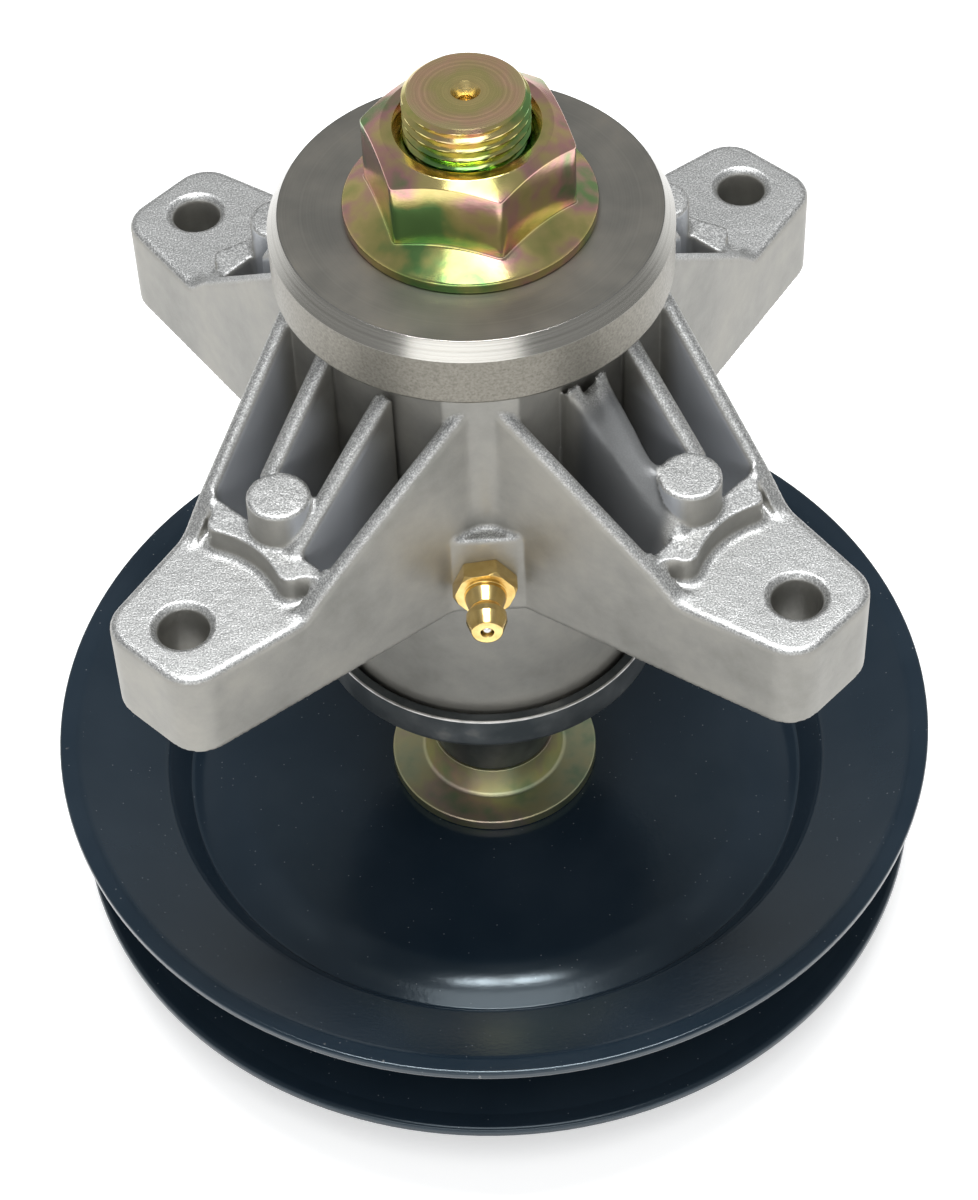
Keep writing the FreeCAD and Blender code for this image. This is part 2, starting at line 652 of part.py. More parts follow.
def build():
    parts = {"housing": housing()}
    parts["grease_fitting"], parts["grease_fitting_ball"] = grease_fitting()
    for name, z0, seal_z in (("blade_bearing", UPPER_BEARING_Z, UPPER_SEAT_Z - SEAL_T),
                             ("pulley_bearing", LOWER_BEARING_Z, LOWER_BEARING_Z)):
        for piece, shape in bearing(z0, seal_z).items():
            parts[name + "_" + piece] = shape
    parts["spindle_shaft"] = shaft()
    parts["bearing_spacer"] = tube(SEAT_R, INNER_SPACER_R, LOWER_SEAT_Z, UPPER_BEARING_Z)
    parts["blade_disc"] = blade_disc()
    parts["blade_nut"] = flange_nut(BLADE_NUT_TURN)
    parts["blade_nut"].translate(V(0, 0, DISC_TOP))
    parts["dust_shield"] = dust_shield()
    parts["pulley_spacer"] = tube(THREAD_R, SPACER_R, HUB_TOP, SHIELD_Z)
    parts["pulley_hub"] = pulley_hub()
    parts["pulley_upper_half"], parts["pulley_lower_half"] = pulley_halves()
    parts["pulley_nut"] = flange_nut(PULLEY_NUT_TURN)
    parts["pulley_nut"].rotate(V(0, 0, 0), V(1, 0, 0), 180)
    parts["pulley_nut"].translate(V(0, 0, NUT_H))
    os.makedirs("parts", exist_ok=True)
    for name, shape in parts.items():
        shape.exportStep("parts/" + name + ".step")
        print(name, len(shape.Solids), "solids, valid", shape.isValid(), "volume %.0f" % shape.Volume)


build()
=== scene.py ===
"""Looks of the mower deck spindle.

Finer pieces, materials, stage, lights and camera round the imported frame.
"""
import math

import bmesh
import bpy
import numpy as np
from mathutils import Matrix, Vector


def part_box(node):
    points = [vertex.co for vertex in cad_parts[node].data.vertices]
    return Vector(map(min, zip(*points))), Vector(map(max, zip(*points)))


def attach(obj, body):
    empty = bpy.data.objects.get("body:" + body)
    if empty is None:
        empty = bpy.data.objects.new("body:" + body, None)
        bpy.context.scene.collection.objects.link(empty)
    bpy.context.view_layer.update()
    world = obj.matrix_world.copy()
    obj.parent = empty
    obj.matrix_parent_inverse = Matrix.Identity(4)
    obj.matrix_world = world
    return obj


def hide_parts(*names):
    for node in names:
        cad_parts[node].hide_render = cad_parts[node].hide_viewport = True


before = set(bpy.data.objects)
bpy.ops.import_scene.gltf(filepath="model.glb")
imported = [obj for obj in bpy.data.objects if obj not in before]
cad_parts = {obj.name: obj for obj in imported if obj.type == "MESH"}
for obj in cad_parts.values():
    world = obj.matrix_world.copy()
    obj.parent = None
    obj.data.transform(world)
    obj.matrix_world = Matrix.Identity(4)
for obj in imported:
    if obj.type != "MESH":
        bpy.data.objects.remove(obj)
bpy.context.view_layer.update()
MM = 0.001

# Photograph: image height and focal length in pixels, then the camera's place in degrees and millimetres
PHOTO_H = 1200
FOCAL_PX = 3171.12
CAM_AZ = 0.344
CAM_EL = 48.844
CAM_ROLL = -2.535
CAM_DIST = 480.784
AIM_X = 0.139
AIM_Z = 54.349
SENSOR_H = 36.0

# Threads, with a fine pitch
PITCH = 1.5
THREAD_R = 8.4
THREAD_DEPTH = 0.9
CREST_SHARE = 0.14
ROOT_SHARE = 0.12
ROWS_PER_PITCH = 16
BORE_PLAY = 0.02
BORE_R = THREAD_R + BORE_PLAY

# Place of a corner of each nut round the axis, in degrees
NUT_TURN = -75.0
LOWER_NUT_TURN = -55.0

# Small edges that the solids leave sharp
EDGE = 0.25
FINE_EDGE = 0.12

# Fineness of turned pieces, and the step in millimetres beyond an arc that keeps a flat flat
SUPPORT = 0.06
SEGMENTS = 160
SHARP_DEG = 38.0
LARGE_BEND = 1.0
ARC_STEPS = 12
SMALL_ARC_STEPS = 4

# Points closer than this, in metres, are one
SAME_POINT = 1e-7
CAD_SAME_POINT = 1e-6

# Settings of the ring and speck nodes
RING_DETAIL = 3.0
SPECK_CORE = 0.4
SPECKS_CHOSEN = (0.8, 0.85)


def span(node):
    """Lowest and highest height of a CAD node, in millimetres."""
    low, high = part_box(node)
    return low[2] / MM, high[2] / MM


def reach(node):
    """Largest radius of a turned CAD node about the spindle axis, in millimetres."""
    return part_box(node)[1][0] / MM


# Paths and turned pieces

def bend_of(corner):
    return corner[2] if len(corner) > 2 else 0


def rounded_path(corners):
    """Open (radius, height) path with arcs at the corners that have a bend as a third value.

    A point close beyond each end of an arc keeps the flats next to it flat in the shading.
    """
    points = []
    for i, corner in enumerate(corners):
        p = np.array(corner[:2], float)
        bend = bend_of(corner)
        if not bend:
            points.append(p)
            continue
        last_corner = corners[i - 1]
        next_corner = corners[(i + 1) % len(corners)]
        before = np.array(last_corner[:2]) - p
        after = np.array(next_corner[:2]) - p
        room_before = np.linalg.norm(before)
        room_after = np.linalg.norm(after)
        before /= room_before
        after /= room_after
        room_before *= bend / (bend + bend_of(last_corner))
        room_after *= bend / (bend + bend_of(next_corner))
        half = math.acos(np.clip(before @ after, -1, 1)) / 2
        run = min(bend / math.tan(half), room_before, room_after)
        radius = run * math.tan(half)
        middle = p + (before + after) / np.linalg.norm(before + after) * radius / math.sin(half)
        first = p + before * run - middle
        last = p + after * run - middle
        turn = math.pi - 2 * half
        steps = ARC_STEPS if bend > LARGE_BEND else SMALL_ARC_STEPS
        points.append(p + before * (run + min(SUPPORT, (room_before - run) / 2)))
        for k in range(steps + 1):
            t = k / steps
            arm = math.sin((1 - t) * turn) * first + math.sin(t * turn) * last
            points.append(middle + arm / math.sin(turn))
        points.append(p + after * (run + min(SUPPORT, (room_after - run) / 2)))
    return points


def finish_mesh(name, mesh, sharp=SHARP_DEG):
    """Object from a mesh: doubles merged, normals outwards, smooth with its sharp edges kept."""
    bm = bmesh.new()
    bm.from_mesh(mesh)
    bmesh.ops.remove_doubles(bm, verts=bm.verts, dist=SAME_POINT)
    bmesh.ops.recalc_face_normals(bm, faces=bm.faces)
    bm.to_mesh(mesh)
    bm.free()
    mesh.shade_smooth()
    mesh.set_sharp_from_angle(angle=math.radians(sharp))
    piece = bpy.data.objects.new(name, mesh)
    bpy.context.scene.collection.objects.link(piece)
    return piece


def spun(name, path_at, segments=SEGMENTS, ring=True, sharp=SHARP_DEG):
    """Piece swept about Z: path_at(angle) gives its (radius, height) path there, in millimetres."""
    angles = [2 * math.pi * k / segments for k in range(segments)]
    paths = np.array([path_at(a) for a in angles])
    count = paths.shape[1]
    radius = paths[:, :, 0]
    turn = np.array(angles)[:, None]
    points = np.stack([radius * np.cos(turn), radius * np.sin(turn), paths[:, :, 1]], axis=2) * MM
    faces = []
    for k in range(segments):
        here = k * count
        there = (k + 1) % segments * count
        for i in range(count if ring else count - 1):
            j = (i + 1) % count
            faces.append((here + i, there + i, there + j, here + j))
    mesh = bpy.data.meshes.new(name)
    mesh.from_pydata(points.reshape(-1, 3).tolist(), [], faces)
    return finish_mesh(name, mesh, sharp)


def lathed(name, corners, ring=True):
    """Piece turned about Z from (radius, height, bend) corners."""
    path = rounded_path(corners)
    return spun(name, lambda angle: path, ring=ring)


def stands_for(piece, node, body, materials):
    """The piece takes the place of a CAD node, on its body and in its finish."""
    for material in materials:
        piece.data.materials.append(material)
    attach(piece, body)
    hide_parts(node)


def paint_bands(piece, band_at):
    """Material index of each face from its middle's (radius, height) in millimetres."""
    for face in piece.data.polygons:
        x, y, z = face.center
        face.material_index = band_at(math.hypot(x, y) / MM, z / MM)


# Material nodes

def material(name, **sockets):
    """New material with its shader's constant sockets set: the material, its tree and its shader."""
    made = bpy.data.materials.new(name)
    made.use_nodes = True
    tree = made.node_tree
    shader = tree.nodes["Principled BSDF"]
    for socket, value in sockets.items():
        shader.inputs[socket.replace("_", " ")].default_value = value
    return made, tree, shader


def put(tree, socket, value):
    """Links an output to a socket, or sets the socket's value."""
    if isinstance(value, bpy.types.NodeSocket):
        tree.links.new(value, socket)
    else:
        socket.default_value = value


def coords(tree, scale=(1, 1, 1)):
    """Object coordinates in metres, stretched by scale."""
    place = tree.nodes.new("ShaderNodeTexCoord").outputs["Object"]
    mapping = tree.nodes.new("ShaderNodeMapping")
    mapping.inputs["Scale"].default_value = scale
    tree.links.new(place, mapping.inputs["Vector"])
    return mapping.outputs["Vector"]


def noise(tree, scale, detail=2.0, roughness=0.5, stretch=(1, 1, 1)):
    node = tree.nodes.new("ShaderNodeTexNoise")
    node.inputs["Scale"].default_value = scale
    node.inputs["Detail"].default_value = detail
    node.inputs["Roughness"].default_value = roughness
    tree.links.new(coords(tree, stretch), node.inputs["Vector"])
    return node.outputs["Fac"]


def specks(tree, scale, size):
    """One inside scattered round specks, nought between them."""
    node = tree.nodes.new("ShaderNodeTexVoronoi")
    node.inputs["Scale"].default_value = scale
    node.inputs["Randomness"].default_value = 1.0
    tree.links.new(coords(tree), node.inputs["Vector"])
    near = spread(tree, node.outputs["Distance"], size, size * SPECK_CORE)
    chosen = tree.nodes.new("ShaderNodeSeparateColor")
    tree.links.new(node.outputs["Color"], chosen.inputs["Color"])
    return calc(tree, "MULTIPLY", near, spread(tree, chosen.outputs["Red"], *SPECKS_CHOSEN))


def spread(tree, value, low, high):
    """Smooth step: nought at low, one at high."""
    node = tree.nodes.new("ShaderNodeMapRange")
    node.interpolation_type = "SMOOTHSTEP"
    node.inputs["From Min"].default_value = low
    node.inputs["From Max"].default_value = high
    put(tree, node.inputs["Value"], value)
    return node.outputs["Result"]


def level(tree, value, low, high):
    """A nought to one value stretched to run from low to high."""
    node = tree.nodes.new("ShaderNodeMapRange")
    node.inputs["To Min"].default_value = low
    node.inputs["To Max"].default_value = high
    put(tree, node.inputs["Value"], value)
    return node.outputs["Result"]


def calc(tree, operation, a, b=0.0):
    node = tree.nodes.new("ShaderNodeMath")
    node.operation = operation
    put(tree, node.inputs[0], a)
    put(tree, node.inputs[1], b)
    return node.outputs["Value"]


def blend(tree, factor, a, b):
    """Colour a where the factor is nought, b where it is one."""
    node = tree.nodes.new("ShaderNodeMix")
    node.data_type = "RGBA"
    put(tree, node.inputs["Factor"], factor)
    for socket, colour in ((node.inputs[6], a), (node.inputs[7], b)):
        put(tree, socket, colour if isinstance(colour, bpy.types.NodeSocket) else (*colour, 1))
    return node.outputs[2]


def hues(tree, value, stops):
    """Colour ramp from (position, colour) stops."""
    node = tree.nodes.new("ShaderNodeValToRGB")
    ramp = node.color_ramp
    while len(ramp.elements) < len(stops):
        ramp.elements.new(0.5)
    for element, (position, colour) in zip(ramp.elements, stops):
        element.position = position
        element.color = (*colour, 1)
    put(tree, node.inputs["Fac"], value)
    return node.outputs["Color"]


def bump(tree, shader, height, depth_mm, strength=1.0):
    node = tree.nodes.new("ShaderNodeBump")
    node.inputs["Distance"].default_value = depth_mm * MM
    put(tree, node.inputs["Strength"], strength)
    put(tree, node.inputs["Height"], height)
    tree.links.new(node.outputs["Normal"], shader.inputs["Normal"])


def place_of(tree):
    """Object coordinates in metres, as separate outputs X, Y and Z."""
    split = tree.nodes.new("ShaderNodeSeparateXYZ")
    tree.links.new(coords(tree), split.inputs["Vector"])
    return split.outputs


def axis_radius(tree):
    """Distance from the spindle axis, in metres."""
    place = place_of(tree)
    square_x = calc(tree, "POWER", place["X"], 2.0)
    square_y = calc(tree, "POWER", place["Y"], 2.0)
    return calc(tree, "SQRT", calc(tree, "ADD", square_x, square_y))


def mesh_value(tree, name):
    """A value that the mesh carries at its points."""
    node = tree.nodes.new("ShaderNodeAttribute")
    node.attribute_name = name
    return node.outputs["Fac"]


def turned_rings(tree, value, scale):
    """Uneven fine rings along a radius or a height, as a tool leaves them."""
    node = tree.nodes.new("ShaderNodeTexNoise")
    node.noise_dimensions = "1D"
    node.inputs["Scale"].default_value = scale
    node.inputs["Detail"].default_value = RING_DETAIL
    put(tree, node.inputs["W"], value)
    return node.outputs["Fac"]


# Materials: scales are patches per metre, tones are (noise value, colour) stops, pairs run from low to high

CAST_CLOUD_SCALE = 60
CAST_BLOT_SCALE = 300
CAST_BLOT_ROUGHNESS = 0.65
CAST_BLOT_SHARE = 0.22
CAST_GRAIN_SCALE = 4200
CAST_GRAIN_ROUGHNESS = 0.6
CAST_GRAIN_SHARE = 0.6
CAST_SKIN_SCALE = 500
CAST_WALL_TONES = [
    (0.3, (0.225, 0.222, 0.202)), (0.5, (0.283, 0.277, 0.254)), (0.7, (0.335, 0.324, 0.292))]
# Upward faces: blasted finish, with a lighter tone that is painted light from above
CAST_LIT_TOP_TONES = [
    (0.35, (0.30, 0.304, 0.305)), (0.5, (0.445, 0.45, 0.445)), (0.66, (0.74, 0.745, 0.74))]
# Pockets painted lighter and slightly bluer: a painted fill light in the deep recesses
CAST_POCKET_FILL_LIGHT_TONE = (0.52, 0.54, 0.57)
# Painted shade on the broad rib's flank
CAST_FLANK_SHADE_TONE = (0.155, 0.16, 0.163)
CAST_METALLIC = (0.5, 0.3)
CAST_ROUGH = (0.36, 0.5)
CAST_TOP_ROUGHER = 0.04
CAST_BUMP_MM = 0.16
CAST_BUMP = (0.16, 0.55)


def cast_aluminium():
    """Die cast skin: stained walls, sparkling blasted tops with painted top light, pockets with painted fill
    light, a flank with painted shade.
    """
    made, tree, shader = material("cast_aluminium")
    blast_and_top_light = mesh_value(tree, "blast_and_top_light")
    pocket = mesh_value(tree, "pocket")
    cloud = noise(tree, CAST_CLOUD_SCALE, detail=4)
    grain = noise(tree, CAST_GRAIN_SCALE, roughness=CAST_GRAIN_ROUGHNESS)
    blots = noise(tree, CAST_BLOT_SCALE, detail=4, roughness=CAST_BLOT_ROUGHNESS)
    stain = calc(tree, "ADD", cloud, level(tree, blots, -CAST_BLOT_SHARE, CAST_BLOT_SHARE))
    # Painted fill light: the pockets take a lighter, bluer tone
    walls = blend(tree, pocket, hues(tree, stain, CAST_WALL_TONES), CAST_POCKET_FILL_LIGHT_TONE)
    # Painted shade darkens the broad rib's flank
    walls = blend(tree, mesh_value(tree, "flank_shade"), walls, CAST_FLANK_SHADE_TONE)
    # Upward faces take the lighter tones: blasted finish plus painted top light
    tops = hues(tree, grain, CAST_LIT_TOP_TONES)
    metallic = calc(tree, "MAXIMUM", blast_and_top_light, level(tree, pocket, *CAST_METALLIC))
    rough = calc(tree, "ADD", level(tree, cloud, *CAST_ROUGH), level(tree, blast_and_top_light, 0.0, CAST_TOP_ROUGHER))
    skin = noise(tree, CAST_SKIN_SCALE, detail=3)
    skin = calc(tree, "ADD", skin, level(tree, grain, 0.0, CAST_GRAIN_SHARE))
    put(tree, shader.inputs["Base Color"], blend(tree, blast_and_top_light, walls, tops))
    put(tree, shader.inputs["Metallic"], metallic)
    put(tree, shader.inputs["Roughness"], rough)
    bump(tree, shader, skin, CAST_BUMP_MM, level(tree, blast_and_top_light, *CAST_BUMP))
    return made


ZINC_FILM = [
    (0.34, (0.20, 0.38, 0.13)), (0.43, (0.54, 0.50, 0.18)), (0.51, (0.70, 0.57, 0.24)),
    (0.60, (0.68, 0.37, 0.34)), (0.70, (0.26, 0.40, 0.17))]
PALE_FILM = [
    (0.34, (0.34, 0.47, 0.30)), (0.43, (0.58, 0.60, 0.38)), (0.51, (0.66, 0.62, 0.36)),
    (0.60, (0.62, 0.50, 0.40)), (0.70, (0.36, 0.47, 0.30))]
ZINC_PATCH_SCALE = 90
ZINC_MOTTLE_SCALE = 420
ZINC_MOTTLE_SHARE = 0.07
ZINC_WEAR_SCALE = 300
ZINC_SKIN_SCALE = 900
ZINC_SKIN_MM = 0.04
ZINC_SKIN_BUMP = 0.25
ZINC_ROUGH = (0.10, 0.20)
PALE_ROUGH = (0.34, 0.46)

# Film of the blade nut: where it turns green on the front face and pink round the crown, in millimetres
TINT_FACE_DEG = NUT_TURN - 30.0
TINT_FACE = (11.2, 12.3)
TINT_FACE_Z = (137.6, 138.8)
TINT_CROWN_R = (8.7, 9.5)
TINT_CROWN_Z = (143.0, 146.5)
TINT_GREEN = -0.13
TINT_PINK = 0.09


def spread_mm(tree, value, ends):
    """Smooth step of a length in metres between two ends in millimetres."""
    return spread(tree, value, ends[0] * MM, ends[1] * MM)


def nut_tint(tree):
    """Shift of the film on the blade nut: towards a darker green on its front face, towards pink round its
    crown.
    """
    place = place_of(tree)
    turn = math.radians(TINT_FACE_DEG)
    ahead_x = calc(tree, "MULTIPLY", place["X"], math.cos(turn))
    ahead_y = calc(tree, "MULTIPLY", place["Y"], math.sin(turn))
    ahead = calc(tree, "ADD", ahead_x, ahead_y)
    on_crown = spread_mm(tree, axis_radius(tree), TINT_CROWN_R)
    crown = calc(tree, "MULTIPLY", on_crown, spread_mm(tree, place["Z"], TINT_CROWN_Z))
    on_face = spread_mm(tree, ahead, TINT_FACE)
    face = calc(tree, "MULTIPLY", on_face, spread_mm(tree, place["Z"], TINT_FACE_Z))
    face = calc(tree, "MULTIPLY", face, calc(tree, "SUBTRACT", 1.0, crown))
    pink = calc(tree, "MULTIPLY", crown, TINT_PINK)
    return calc(tree, "ADD", pink, calc(tree, "MULTIPLY", face, TINT_GREEN))


def yellow_zinc(name, film_tones, rough):
    """Yellow zinc plate with patches of green, gold and pink."""
    made, tree, shader = material(name, Metallic=1.0)
    patches = noise(tree, ZINC_PATCH_SCALE, detail=3)
    mottle = level(tree, noise(tree, ZINC_MOTTLE_SCALE, detail=3), -ZINC_MOTTLE_SHARE, ZINC_MOTTLE_SHARE)
    film = calc(tree, "ADD", calc(tree, "ADD", patches, mottle), nut_tint(tree))
    put(tree, shader.inputs["Base Color"], hues(tree, film, film_tones))
    put(tree, shader.inputs["Roughness"], level(tree, noise(tree, ZINC_WEAR_SCALE, detail=3), *rough))
    bump(tree, shader, noise(tree, ZINC_SKIN_SCALE, detail=3), ZINC_SKIN_MM, ZINC_SKIN_BUMP)
    return made


END_TONES = [
    (0.15, (0.70, 0.54, 0.24)), (0.45, (0.56, 0.48, 0.20)), (0.75, (0.72, 0.47, 0.30)),
    (1.0, (0.64, 0.53, 0.27))]
END_MOTTLE_SCALE = 240
END_MOTTLE_SHARE = 0.35
END_RING_SCALE = 2600
END_RING_MM = 0.03
END_RING_BUMP = 0.6
END_ROUGH = (0.2, 0.34)


def zinc_end():
    """Plated end face of the stud: turned rings, gold inside and pink outside."""
    made, tree, shader = material("zinc_end", Metallic=1.0)
    radius = axis_radius(tree)
    mottle = level(tree, noise(tree, END_MOTTLE_SCALE, detail=3), -END_MOTTLE_SHARE, END_MOTTLE_SHARE)
    film = calc(tree, "ADD", calc(tree, "DIVIDE", radius, THREAD_R * MM), mottle)
    rings = turned_rings(tree, radius, END_RING_SCALE)
    put(tree, shader.inputs["Base Color"], hues(tree, film, END_TONES))
    put(tree, shader.inputs["Roughness"], level(tree, rings, *END_ROUGH))
    bump(tree, shader, rings, END_RING_MM, END_RING_BUMP)
    return made


FACE_TONES = [
    (0.35, (0.19, 0.186, 0.168)), (0.6, (0.235, 0.224, 0.198)), (0.75, (0.26, 0.238, 0.20))]
FACE_STAIN_SCALE = 120
FACE_RING_SCALE = 3200
FACE_RING_TONE = (0.34, 0.33, 0.30)
FACE_RING_SHARE = 0.3
FACE_RING_MM = 0.02
FACE_RING_BUMP = 0.15
FACE_ROUGH = (0.34, 0.44)


def steel_face():
    """Turned grey end face with fine rings and faint brown stains."""
    made, tree, shader = material("steel_face", Metallic=1.0)
    rings = turned_rings(tree, axis_radius(tree), FACE_RING_SCALE)
    stain = noise(tree, FACE_STAIN_SCALE, detail=4)
    ring_share = level(tree, rings, 0.0, FACE_RING_SHARE)
    shade = blend(tree, ring_share, hues(tree, stain, FACE_TONES), FACE_RING_TONE)
    put(tree, shader.inputs["Base Color"], shade)
    put(tree, shader.inputs["Roughness"], level(tree, stain, *FACE_ROUGH))
    bump(tree, shader, rings, FACE_RING_MM, FACE_RING_BUMP)
    return made


SIDE_TONES = [
    (0.3, (0.152, 0.144, 0.122)), (0.5, (0.204, 0.193, 0.166)), (0.7, (0.243, 0.231, 0.20))]
SIDE_LINE_SCALE = 4200
SIDE_GRIT_SCALE = 2600
SIDE_GRIT_ROUGHNESS = 0.6
SIDE_ROUGH = (0.44, 0.34)
SIDE_BUMP_MM = 0.015
SIDE_BUMP = 0.4


def steel_side():
    """Turned rim with feed lines round it and dark pits."""
    made, tree, shader = material("steel_side", Metallic=1.0)
    lines = turned_rings(tree, place_of(tree)["Z"], SIDE_LINE_SCALE)
    grit = noise(tree, SIDE_GRIT_SCALE, detail=3, roughness=SIDE_GRIT_ROUGHNESS)
    put(tree, shader.inputs["Base Color"], hues(tree, grit, SIDE_TONES))
    put(tree, shader.inputs["Roughness"], level(tree, grit, *SIDE_ROUGH))
    bump(tree, shader, calc(tree, "ADD", lines, grit), SIDE_BUMP_MM, SIDE_BUMP)
    return made


BEVEL_TONES = [(0.3, (0.33, 0.322, 0.298)), (0.7, (0.41, 0.402, 0.376))]
BEVEL_LINE_SCALE = 5000
BEVEL_ROUGH = (0.17, 0.26)
BEVEL_BUMP_MM = 0.01
BEVEL_BUMP = 0.4


def steel_bevel():
    """Freshly turned chamfer, the brightest cut on the disc."""
    made, tree, shader = material("steel_bevel", Metallic=1.0)
    lines = turned_rings(tree, axis_radius(tree), BEVEL_LINE_SCALE)
    put(tree, shader.inputs["Base Color"], hues(tree, lines, BEVEL_TONES))
    put(tree, shader.inputs["Roughness"], level(tree, lines, *BEVEL_ROUGH))
    bump(tree, shader, lines, BEVEL_BUMP_MM, BEVEL_BUMP)
    return made


PAINT_TONES = [(0.35, (0.008, 0.016, 0.026)), (0.7, (0.014, 0.023, 0.034))]
PAINT_CLOUD_SCALE = 45
PAINT_SPECULAR = 0.5
# Blue tint on the paint's reflections: painted bluish light
PAINT_REFLECTION_TINT = (0.78, 0.92, 1.0, 1.0)
PAINT_ROUGH = (0.15, 0.21)
PEEL_SCALE = 1300
PEEL_MM = 0.04
PEEL_BUMP = 0.35
DUST_SCALE = 1100
DUST_SIZE = 0.14
DUST_SHARE = 0.4
DUST_TONE = (0.32, 0.34, 0.36)
CHIP_R = (66.6, 68.0)
CHIP_SCALE = 620
CHIP_EDGE = (0.70, 0.73)
CHIP_TONE = (0.22, 0.22, 0.22)


def black_paint():
    """Blue black half gloss paint with orange peel, dust and a few chips; its reflections are tinted blue as
    painted bluish light.
    """
    made, tree, shader = material("black_paint", Metallic=0.0, Specular_IOR_Level=PAINT_SPECULAR,
                                  Specular_Tint=PAINT_REFLECTION_TINT)
    cloud = noise(tree, PAINT_CLOUD_SCALE, detail=3)
    dust = calc(tree, "MULTIPLY", specks(tree, DUST_SCALE, DUST_SIZE), DUST_SHARE)
    chips = spread(tree, noise(tree, CHIP_SCALE, detail=3), *CHIP_EDGE)
    chips = calc(tree, "MULTIPLY", spread_mm(tree, axis_radius(tree), CHIP_R), chips)
    dusty = blend(tree, dust, hues(tree, cloud, PAINT_TONES), DUST_TONE)
    put(tree, shader.inputs["Base Color"], blend(tree, chips, dusty, CHIP_TONE))
    put(tree, shader.inputs["Roughness"], level(tree, cloud, *PAINT_ROUGH))
    bump(tree, shader, noise(tree, PEEL_SCALE), PEEL_MM, PEEL_BUMP)
    return made


GROUND_TONES = [(0.3, (0.52, 0.52, 0.53)), (0.7, (0.66, 0.66, 0.67))]
OXIDE_TONES = [(0.4, (0.07, 0.08, 0.085)), (0.62, (0.12, 0.13, 0.135)), (0.75, (0.24, 0.24, 0.23))]
BARE_TONES = [(0.3, (0.30, 0.30, 0.29)), (0.6, (0.62, 0.61, 0.59))]
BRASS_TONES = [(0.35, (0.62, 0.42, 0.14)), (0.6, (0.83, 0.62, 0.26)), (0.8, (0.86, 0.68, 0.34))]
RUBBER_TONES = [(0.3, (0.0225, 0.0225, 0.0225)), (0.7, (0.03, 0.03, 0.03))]
CAGE_TONES = [(0.3, (0.315, 0.2475, 0.15)), (0.7, (0.42, 0.33, 0.20))]


def mottled(name, metallic, scale, detail, tones, rough, stretch=(1, 1, 1)):
    """Plain finish whose tone and roughness follow one noise: the material, its tree and its shader."""
    made, tree, shader = material(name, Metallic=metallic)
    wear = noise(tree, scale, detail, stretch=stretch)
    put(tree, shader.inputs["Base Color"], hues(tree, wear, tones))
    put(tree, shader.inputs["Roughness"], level(tree, wear, *rough))
    return made, tree, shader


def grained(mottled_parts, scale, detail, depth_mm, strength):
    """The same finish with a fine raised grain."""
    made, tree, shader = mottled_parts
    bump(tree, shader, noise(tree, scale, detail), depth_mm, strength)
    return made


def moulded(name, tones, rough):
    """Moulded rubber or plastic."""
    plain = mottled(name, metallic=0.0, scale=900, detail=3, tones=tones, rough=rough)
    return grained(plain, scale=900, detail=3, depth_mm=0.03, strength=0.4)


ALUMINIUM = cast_aluminium()
ZINC = yellow_zinc("yellow_zinc", ZINC_FILM, ZINC_ROUGH)
DULL_ZINC = yellow_zinc("dull_zinc", PALE_FILM, PALE_ROUGH)
STUD = zinc_end()
FACE = steel_face()
SIDE = steel_side()
BEVEL = steel_bevel()
GROUND = mottled("ground_steel", metallic=1.0, scale=700, detail=3, tones=GROUND_TONES, rough=(0.18, 0.3),
                 stretch=(1, 1, 6))[0]
PAINT = black_paint()
OXIDE = grained(
    mottled("black_steel", metallic=0.7, scale=160, detail=4, tones=OXIDE_TONES, rough=(0.3, 0.5)),
    scale=800, detail=3, depth_mm=0.04, strength=0.4)
BARE = mottled("worn_edge", metallic=1.0, scale=350, detail=4, tones=BARE_TONES, rough=(0.28, 0.45))[0]
BRASS = grained(
    mottled("brass", metallic=1.0, scale=260, detail=4, tones=BRASS_TONES, rough=(0.3, 0.16)),
    scale=1600, detail=2, depth_mm=0.02, strength=0.3)
RUBBER = moulded("seal_rubber", RUBBER_TONES, rough=(0.52, 0.68))
CAGE = moulded("cage_plastic", CAGE_TONES, rough=(0.42, 0.58))


# Housing: the CAD casting with the soft edges of a die casting.
# A station (S) runs out along a leg, an offset (O) across it, in millimetres

VOXEL = 0.38
SOFTEN = 1
SOFT_FACTOR = 0.5
MOST_FACES = 180000
# Tilt of the upward faces that get the blasted finish and the painted top light
BLAST_AND_TOP_LIGHT_TILT = (0.30, 0.75)
HOLE_S = 57.7
LEG_HALF_AT_HOLE = 9.92
LEG_TAPER = 0.185
LEG_WALL = 2.4
PLATE_S = 41.5
POCKET_FROM_R = 25.5
POCKET_FROM_Z = 87.0
POCKET_FADE = 2.0
POCKET_TILT = (0.1, 0.4)
POCKET_TILTED = 0.12
# Broad rib's flank: melted into its pocket, given painted shade and little painted top light
FLANK_S = (23.0, 41.0)
FLANK_O = -9.3
FLANK_Z = 91.0
FLANK_MELTS = 60
FLANK_BLAST_AND_TOP_LIGHT = 0.05
FLANK_SHADE_S = 22.8
FLANK_SHADE_FADE = 3.0
BROAD_RIB_S = 24.2
BROAD_RIB_O = -0.8
BROAD_RIB_LEAN = 0.225
BROAD_RIB_HALF = 2.2
BOSS_S = 38.8
BOSS_CLEAR = 4.9
BOSS_SIDE_R = 4.4


def smooth_step(value, low, high):
    t = np.clip((value - low) / (high - low), 0, 1)
    return t * t * (3 - 2 * t)


def on_flank(place, boss_clear):
    """True on the front right leg's broad rib, which runs out into its pocket without a crease."""
    x, y, z = place / MM
    station = (x - y) / math.sqrt(2)
    offset = (x + y) / math.sqrt(2)
    crest = BROAD_RIB_O - (station - BROAD_RIB_S) * BROAD_RIB_LEAN + BROAD_RIB_HALF
    clear = math.hypot(station - BOSS_S, offset) > boss_clear
    return FLANK_S[0] < station < FLANK_S[1] and FLANK_O < offset < crest and z > FLANK_Z and clear


